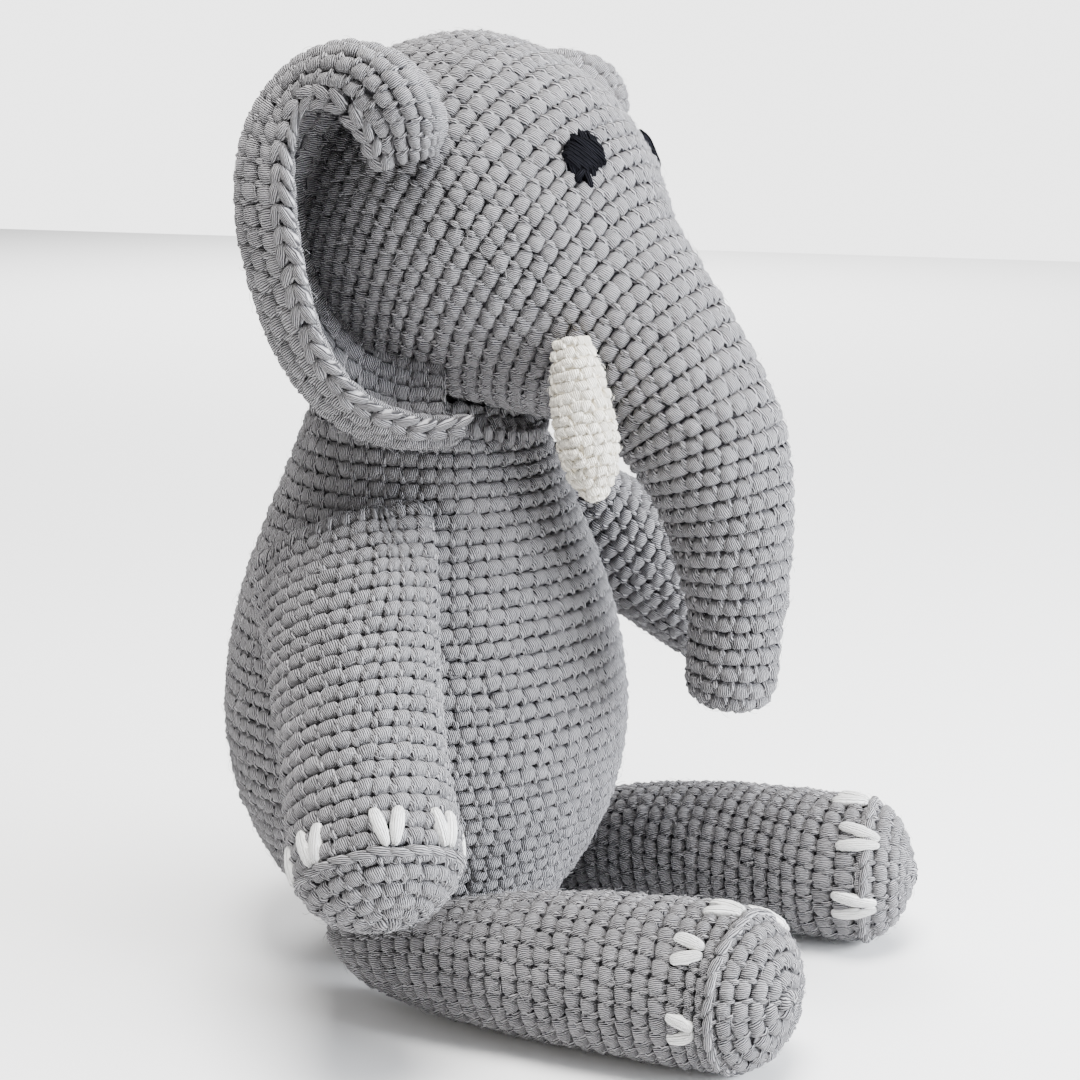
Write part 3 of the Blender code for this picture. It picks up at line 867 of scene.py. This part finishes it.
# %% Limbs and tusks
SHOULDERS = {"right": place(-46.0, -1.0, 117.5), "left": place(43.5, 4.0, 118.0)}
PAWS = {"right": place(-83.5, 31.0, 52.5), "left": place(90.0, 50.0, 76.0)}
SHOULDER_SEAMS = {"right": Vector((8.0, -45.0, 16.5)).normalized(),
                  "left": Vector((-16.0, -41.0, 27.0)).normalized()}
LEG_LINE = ((39.0, 0.7, 10.6), (44.4, 8.0, 12.2), (46.6, 32.0, 15.6), (46.0, 60.0, 18.2), (44.8, 88.0, 19.0))
FOOT = (44.3, 100.3, 19.2)
FOOT_REACH = {"right": 0.0, "left": 2.5}    # the left leg is stretched a little further
TUSK_ROOT = (30.5, 54.0, 164.5)
TUSK_TIP = (34.5, 62.5, 127.0)
TUSK_GAUGE = (0.0026, 0.0028, 0.5)          # height of a round, width of a stitch, thickness of the yarn
TIP = 14.9 * MM                             # from the middle of a paw or sole to its outer face
limb_skins = {}
seam_runs = {}


def arm(side, seed):
    top = SHOULDERS[side]
    paw = PAWS[side]
    seam = SHOULDER_SEAMS[side]
    down = (paw - top).normalized()
    line = [paw + down * TIP, paw, top.lerp(paw, 0.5), top + down * 0.3 * MM]
    grid = read_skin([f"{side}_arm_cover"], line, seam, 32, True, False, bulge=0.0012)
    grid = sew_shut(stuff(f"{side} arm", grid, False, True, cap=0.0012), seam)
    piece, skin = crochet(f"{side}_arm_skin", grid, seed)
    limb_skins[f"{side}_arm"] = skin
    seam_runs[f"{side}_arm"] = skin.run[-3]
    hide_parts(f"{side}_arm_cover")
    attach(piece, f"{side}_arm")


def leg(side, seed):
    sign = SIGNS[side]
    foot = place(sign * FOOT[0], FOOT[1] + FOOT_REACH[side], FOOT[2])
    splay = Vector((sign * 0.19, -1.0, 0.0)).normalized()
    line = [place(sign * s, f, u) for s, f, u in LEG_LINE] + [foot, foot + splay * TIP]
    slant = Vector((sign * 0.7, 0.0, 0.7))
    grid = read_skin([f"{side}_leg_cover"], line[::-1], slant, 32, True, True, bulge=0.0012)
    grid = stuff(f"{side} leg", grid, False, True, cap=0.0012)
    grid = sew_shut(grid[:-1], slant, ((0.85, 1.2), (0.01, 2.2)))
    grid[..., 2] = np.maximum(grid[..., 2], 0.0003)
    piece, skin = crochet(f"{side}_leg_skin", grid, seed)
    limb_skins[f"{side}_leg"] = skin
    seam_runs[f"{side}_leg"] = skin.run[-3] - 0.0004
    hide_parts(f"{side}_leg_cover")
    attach(piece, f"{side}_leg")


def tusk(side, seed):
    root = place(SIGNS[side] * TUSK_ROOT[0], *TUSK_ROOT[1:])
    tip = place(SIGNS[side] * TUSK_TIP[0], *TUSK_TIP[1:])
    line = [root.lerp(tip, 0.97), root.lerp(tip, 0.5), root.lerp(tip, 0.01)]
    grid = read_skin([f"{side}_tusk_cover"], line, sideways, 24, True, False)
    piece, _ = crochet(f"{side}_tusk_skin", grid, seed, cream_yarn, *TUSK_GAUGE, wobble=2.2)
    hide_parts(f"{side}_tusk_cover")
    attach(piece, "head")


for number, side in enumerate(SIGNS):
    arm(side, 10 + number)
    leg(side, 20 + number)
    tusk(side, 30 + number)

# %% [markdown]
# ## Ears
#
# An ear is a thick crocheted sheet, cupped forward like a horseshoe: its base follows the head, its middle
# bulges out and its free rim curls back in. Three smooth lines, base, bulge and rim, give the sheet. Its
# rounds run along those lines and wrap from the outer side over the rim to the inner side. The rim is
# finished with a row of chain, whose links point towards the tip.

# %% Ears
EAR_BASE = ((42.9, 21, 207), (41, 24, 214), (38.5, 18, 221), (36.5, 5, 223), (39, -7, 212), (41.5, -12, 197),
            (41, -11, 181), (39.5, -6, 167), (37.5, 1, 158.5), (35, 11, 153.5), (33.5, 22, 151.5))
EAR_BULGE = ((48.5, 25, 205.5), (57, 29.5, 216.5), (58, 21, 226.5), (55, 4, 227), (57, -9.5, 215.5),
             (58, -14.8, 198), (57.5, -13, 180), (54.5, -7.8, 162.5), (49, 0.5, 148.5), (42.5, 13.5, 141.5),
             (37.5, 26, 141.8))
EAR_RIM = ((52, 17.5, 203.5), (60, 17.5, 212), (62.5, 12, 218), (63, 4, 216.5), (64.5, 1, 208),
           (65.5, 1, 196), (64.5, 2.5, 181), (62, 6, 164), (55.5, 13, 151), (47.5, 23.5, 145.3),
           (40.5, 32.5, 145.0))
EAR_THICK = 0.0046
EAR_INTO_HEAD = 0.12    # how far the base goes in under the head's stitches, so that no flap lifts it out
EAR_ROUND = 0.0043
EAR_STITCH = 0.0046
SOFT = 0.40             # the inner side's stitches are seen from behind, where they stand out less
EAR_FIBRES = 700
CHAIN_LONG = 0.0045
CHAIN_WIDE = 0.0060


def ear_sheet(sign, along=90, across=15):
    """The ear's middle sheet as a grid (across, along, xyz) in metres."""
    lines = []
    for points in (EAR_BASE, EAR_BULGE, EAR_RIM):
        fine = through_points(np.array(points, float), np.linspace(0, len(points) - 1 - 1e-9, along))
        lines.append(np.stack([sign * fine[:, 0], -fine[:, 1], fine[:, 2]], axis=1) * MM)
    base, bulge, rim = lines
    base = base + (head_middle - base) * EAR_INTO_HEAD
    control = 2 * bulge - 0.5 * (base + rim)
    share = np.linspace(0, 1, across)[:, None, None]
    return base * (1 - share) ** 2 + control * 2 * share * (1 - share) + rim * share ** 2


def ear_wrap(sheet, thick):
    """The sheet's two sides and its round rim as one skin, from the outer side's base to the inner side's."""
    across = np.gradient(sheet, axis=0)
    along = np.gradient(sheet, axis=1)
    normal = np.cross(across, along)
    normal /= np.linalg.norm(normal, axis=2, keepdims=True)
    middle = sheet.shape[0] // 2
    away = sheet[middle, sheet.shape[1] // 2] - np.array([0, -0.010, 0.186])
    if normal[middle, sheet.shape[1] // 2] @ away < 0:
        normal = -normal
    outer = sheet + normal * thick / 2
    inner = sheet - normal * thick / 2
    edge_way = across[-1] / np.linalg.norm(across[-1], axis=1, keepdims=True)
    rim = []
    for angle in np.linspace(0, math.pi, 9)[1:-1]:
        rim.append(sheet[-1] + (normal[-1] * math.cos(angle) + edge_way * math.sin(angle)) * thick / 2)
    grid = np.concatenate([outer, np.array(rim), inner[::-1]])
    facing = np.concatenate([normal, np.array(rim) - sheet[-1], -normal[::-1]])
    return Skin(grid, closed=False).turn_out(facing)


CHAIN_LINK = join_lobes(
    lobe((-0.02, -0.60), (-0.46, 0.66), (0.20, 0.32, 0.24), 0.00145, sink=0.0006),
    lobe((0.02, -0.60), (0.46, 0.66), (0.20, 0.32, 0.24), 0.00145, sink=0.0006),
)


def ribbon(line, across, width):
    """A narrow flat skin along a line: across is the way to its side at each point."""
    line = np.asarray(line)
    side = np.asarray(across) * width / 2
    return Skin(np.stack([line - side, line, line + side], axis=1), closed=False)


def lay_along(fabric, edge, pattern, pitch, width, height, wobble=1.0):
    """Lay one row of copies along a ribbon, about a pitch apart; returns how many."""
    number = round(edge.run[-1] / pitch)
    pitch = edge.run[-1] / number
    runs = (np.arange(number) + 0.5) * pitch
    fabric.rounds(edge, pattern, runs, pitch, width, height, drift=0.0, wobble=wobble)
    return number


def ear_piece(side, seed):
    sheet = ear_sheet(SIGNS[side])
    skin = ear_wrap(sheet, EAR_THICK - 0.0012)
    fabric = Fabric(seed)
    fabric.backing(skin, 0.0008, spacing=0.0015)
    side_length = np.linalg.norm(np.diff(sheet, axis=0), axis=2).mean(axis=1).sum()
    rim_start = side_length + 0.0010
    rim_end = side_length + math.pi * EAR_THICK / 2 - 0.0022
    number = round(rim_start / EAR_ROUND)
    row = rim_start / number
    outer_runs = (np.arange(number) + 0.5) * row
    stitches = fabric.rounds(skin, SINGLE_CROCHET, outer_runs, row, EAR_STITCH, -0.0006)
    shape, faces, strand = SINGLE_CROCHET
    soft = (shape * np.array([1, 1, SOFT]), faces, strand)
    fabric.fuzz(skin, EAR_FIBRES, 0.0038)
    stitches += fabric.rounds(skin, soft, rim_end + outer_runs, row, EAR_STITCH, -0.0005)
    middle_run = np.full(120, (rim_start + rim_end) / 2)
    turns = np.linspace(0, 1, 120)
    line = skin.at(middle_run, turns, 0.0)
    across = skin.at(middle_run + 0.001, turns, 0.0) - skin.at(middle_run - 0.001, turns, 0.0)
    across /= np.linalg.norm(across, axis=1, keepdims=True)
    out = skin.at(middle_run, turns, 0.001) - line
    edge = ribbon(line, across, 0.0058).turn_out(np.repeat(out[:, None], 3, axis=1))
    links = lay_along(fabric, edge, CHAIN_LINK, CHAIN_LONG, CHAIN_WIDE, 0.0002, wobble=1.5)
    piece = fabric.make(f"{side}_ear_fabric", grey_yarn)
    print(f"{side} ear: {stitches} stitches and {links} chain links")
    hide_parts(f"{side}_ear")
    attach(piece, f"{side}_ear")


ear_piece("right", 40)
ear_piece("left", 41)

# %% [markdown]
# ## Toenails
#
# A toenail is two fat satin stitches in white yarn that start at one hole near the sole and spread into a V.
# Each is placed on the skin where the frame has the nail, so it follows the foot's curve.

# %% Toenails
NAIL = join_lobes(
    lobe((-0.10, -0.52), (-0.37, 0.50), (0.13, 0.20, 0.19), 0.0019, sink=0.0003, rings=7, belly=0.34),
    lobe((0.10, -0.52), (0.37, 0.50), (0.13, 0.20, 0.19), 0.0019, sink=0.0003, rings=7, belly=0.34),
)
NAIL_LONG = 0.0088
NAIL_WIDE = 0.0078


def nearest(skin, node):
    """The run and turn of the skin's grid point that is nearest to the middle of a node of the frame."""
    low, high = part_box(node)
    middle = (Vector(low) + Vector(high)) / 2
    far = np.linalg.norm(skin.grid - np.array(middle), axis=2)
    ring, step = np.unravel_index(np.argmin(far), far.shape)
    return skin.run[ring], step / skin.grid.shape[1]


for number, limb in enumerate(limb_skins):
    skin = limb_skins[limb]
    for toe in range(1, 6):
        run, turn = nearest(skin, f"{limb}_nail_{toe}")
        nail = Fabric(100 + 10 * number + toe)
        nail.single(skin, NAIL, run, turn, NAIL_LONG, NAIL_WIDE, 0.0004)
        piece = nail.make(f"{limb}_toenail_{toe}", white_yarn)
        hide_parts(f"{limb}_nail_{toe}")
        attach(piece, limb)

# %% [markdown]
# ## Sole edges
#
# Where a sole meets the side of a foot, the round is worked through the back loops only. The loops left
# over make a rope-like ridge round the sole, just under the toenails.

# %% Sole ridges
ROPE_LINK = join_lobes(
    lobe((-0.22, -0.78), (0.26, 0.78), (0.20, 0.34, 0.20), 0.00135, sink=0.0005),
)
BELOW_NAIL = 0.62       # the ridge is this share of a nail's length from the nail's middle


def round_line(skin, run, count=96):
    """A closed line round a bag at one run, with its outward ways and the ways along the bag."""
    turns = np.arange(count + 1) / count
    line = skin.at(np.full(count + 1, run), turns)
    out = skin.at(np.full(count + 1, run), turns, 0.001) - line
    on = skin.at(np.full(count + 1, run + 0.001), turns) - line
    on /= np.linalg.norm(on, axis=1, keepdims=True)
    return line, out, on


for number, limb in enumerate(limb_skins):
    skin = limb_skins[limb]
    run, _ = nearest(skin, f"{limb}_nail_3")
    line, out, on = round_line(skin, run - NAIL_LONG * BELOW_NAIL)
    edge = ribbon(line, on, 0.0034).turn_out(np.repeat(out[:, None], 3, axis=1))
    rope = Fabric(200 + number)
    lay_along(rope, edge, ROPE_LINK, 0.0042, 0.0034, 0.0004)
    piece = rope.make(f"{limb}_sole_ridge", grey_yarn)
    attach(piece, limb)

# %% [markdown]
# ## Eyes
#
# The eyes are embroidered in black yarn: long stitches laid side by side until they fill a circle, with
# the end of the yarn knotted at the lower edge. They are laid on the head's own skin.

# %% Eyes
EYE_WIDE = 0.0108
EYE_STRANDS = 9
EYE_LAYERS = ((0.35, 0.0002), (-0.25, 0.0010))      # lean of the stitches, height over the head
KNOT_ENDS = ((0.62, 0.30), (0.40, 0.66))            # across and along, in shares of the eye
for number, side in enumerate(SIGNS):
    run, turn = nearest(head_skin, f"{side}_eye")
    eye = Fabric(300 + number)
    for layer, (lean, lift_up) in enumerate(EYE_LAYERS):
        for strand_number in range(EYE_STRANDS):
            share = (strand_number + 0.5) / EYE_STRANDS * 2 - 1
            half = math.sqrt(1 - share * share) * (0.5 - 0.07 * layer) + 0.05
            half *= eye.random.uniform(0.86, 1.08)
            slant = lean + eye.random.uniform(-0.08, 0.08)
            shift = share * 0.5 * (1 - 0.12 * layer)
            shape = join_lobes(lobe((shift - slant * half, -half), (shift + slant * half, half),
                                    (0.07, 0.085, 0.07), 0.0013, sink=0.0004, rings=7, belly=0.3))
            eye.single(head_skin, shape, run, turn, EYE_WIDE, EYE_WIDE, lift_up)
    for knot_end in KNOT_ENDS:
        tail = join_lobes(lobe((0.25, 0.25), knot_end, (0.08, 0.09, 0.08), 0.0012, sink=0.0003, belly=0.3))
        eye.single(head_skin, tail, run, turn, EYE_WIDE, EYE_WIDE, 0.0006)
    piece = eye.make(f"{side}_eye_stitches", black_yarn)
    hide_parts(f"{side}_eye")
    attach(piece, "head")

# %% [markdown]
# ## Seams
#
# The bags are whip stitched together: a strand of the same yarn goes over the join again and again. Each
# turn of it shows as one slanted lobe across the seam.

# %% Seams
WHIP = join_lobes(lobe((-0.50, -0.30), (0.50, 0.30), (0.30, 0.38, 0.30), 0.0012, sink=0.0008, belly=0.3))


rim = body_grid[-4]
rim = np.vstack([rim, rim[:1]])
out = rim - neck_middle
out /= np.linalg.norm(out, axis=1, keepdims=True)
up = np.cross(np.gradient(rim, axis=0), out)
up /= np.linalg.norm(up, axis=1, keepdims=True)
edge = ribbon(rim + out * 0.0003 + 0.0002 * np.sign(up[:, 2:]) * up, up, 0.0050)
whip = Fabric(400)
turns = lay_along(whip, edge.turn_out(np.repeat(out[:, None], 3, axis=1)), WHIP, 0.0034, 0.0050, 0.0)
piece = whip.make("neck_whip_stitches", grey_yarn)
print(f"neck: sewn round with {turns} whip stitches")
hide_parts("neck_seam")
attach(piece, "body")
OVER_EDGE = join_lobes(lobe((-0.22, -0.5), (0.22, 0.5), (0.20, 0.30, 0.20), 0.0012, sink=0.0006, belly=0.3))
for number, (limb, skin) in enumerate(limb_skins.items()):
    whip = Fabric(410 + number)
    turns = whip.rounds(skin, OVER_EDGE, [seam_runs[limb]], 0.0056, 0.0040, 0.0002, drift=0.0, wobble=0.8)
    piece = whip.make(f"{limb}_whip_stitches", grey_yarn)
    print(f"{limb}: sewn on with {turns} whip stitches")
    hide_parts(f"{limb}_seam")
    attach(piece, "body")

# %% [markdown]
# ## Filling
#
# The filling never shows, but it is there: loose white polyester fibre, packed into every bag. The solids of
# the frame already have the right shape, so they only get a fibrous white finish.

# %% Filling
filling = plain_material("polyester_filling", (0.86, 0.86, 0.84), 0.95)
tree = filling.node_tree
tangle = add_node(tree, "ShaderNodeTexNoise", Scale=400.0, Detail=4.0)
where = add_node(tree, "ShaderNodeTexCoord")
wisps = add_node(tree, "ShaderNodeBump", Distance=0.0006)
tree.links.new(where.outputs["Object"], tangle.inputs["Vector"])
tree.links.new(tangle.outputs["Fac"], wisps.inputs["Height"])
tree.links.new(wisps.outputs["Normal"], tree.nodes["Principled BSDF"].inputs["Normal"])
for node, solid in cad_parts.items():
    if node.endswith("stuffing"):
        solid.data.materials.clear()
        solid.data.materials.append(filling)
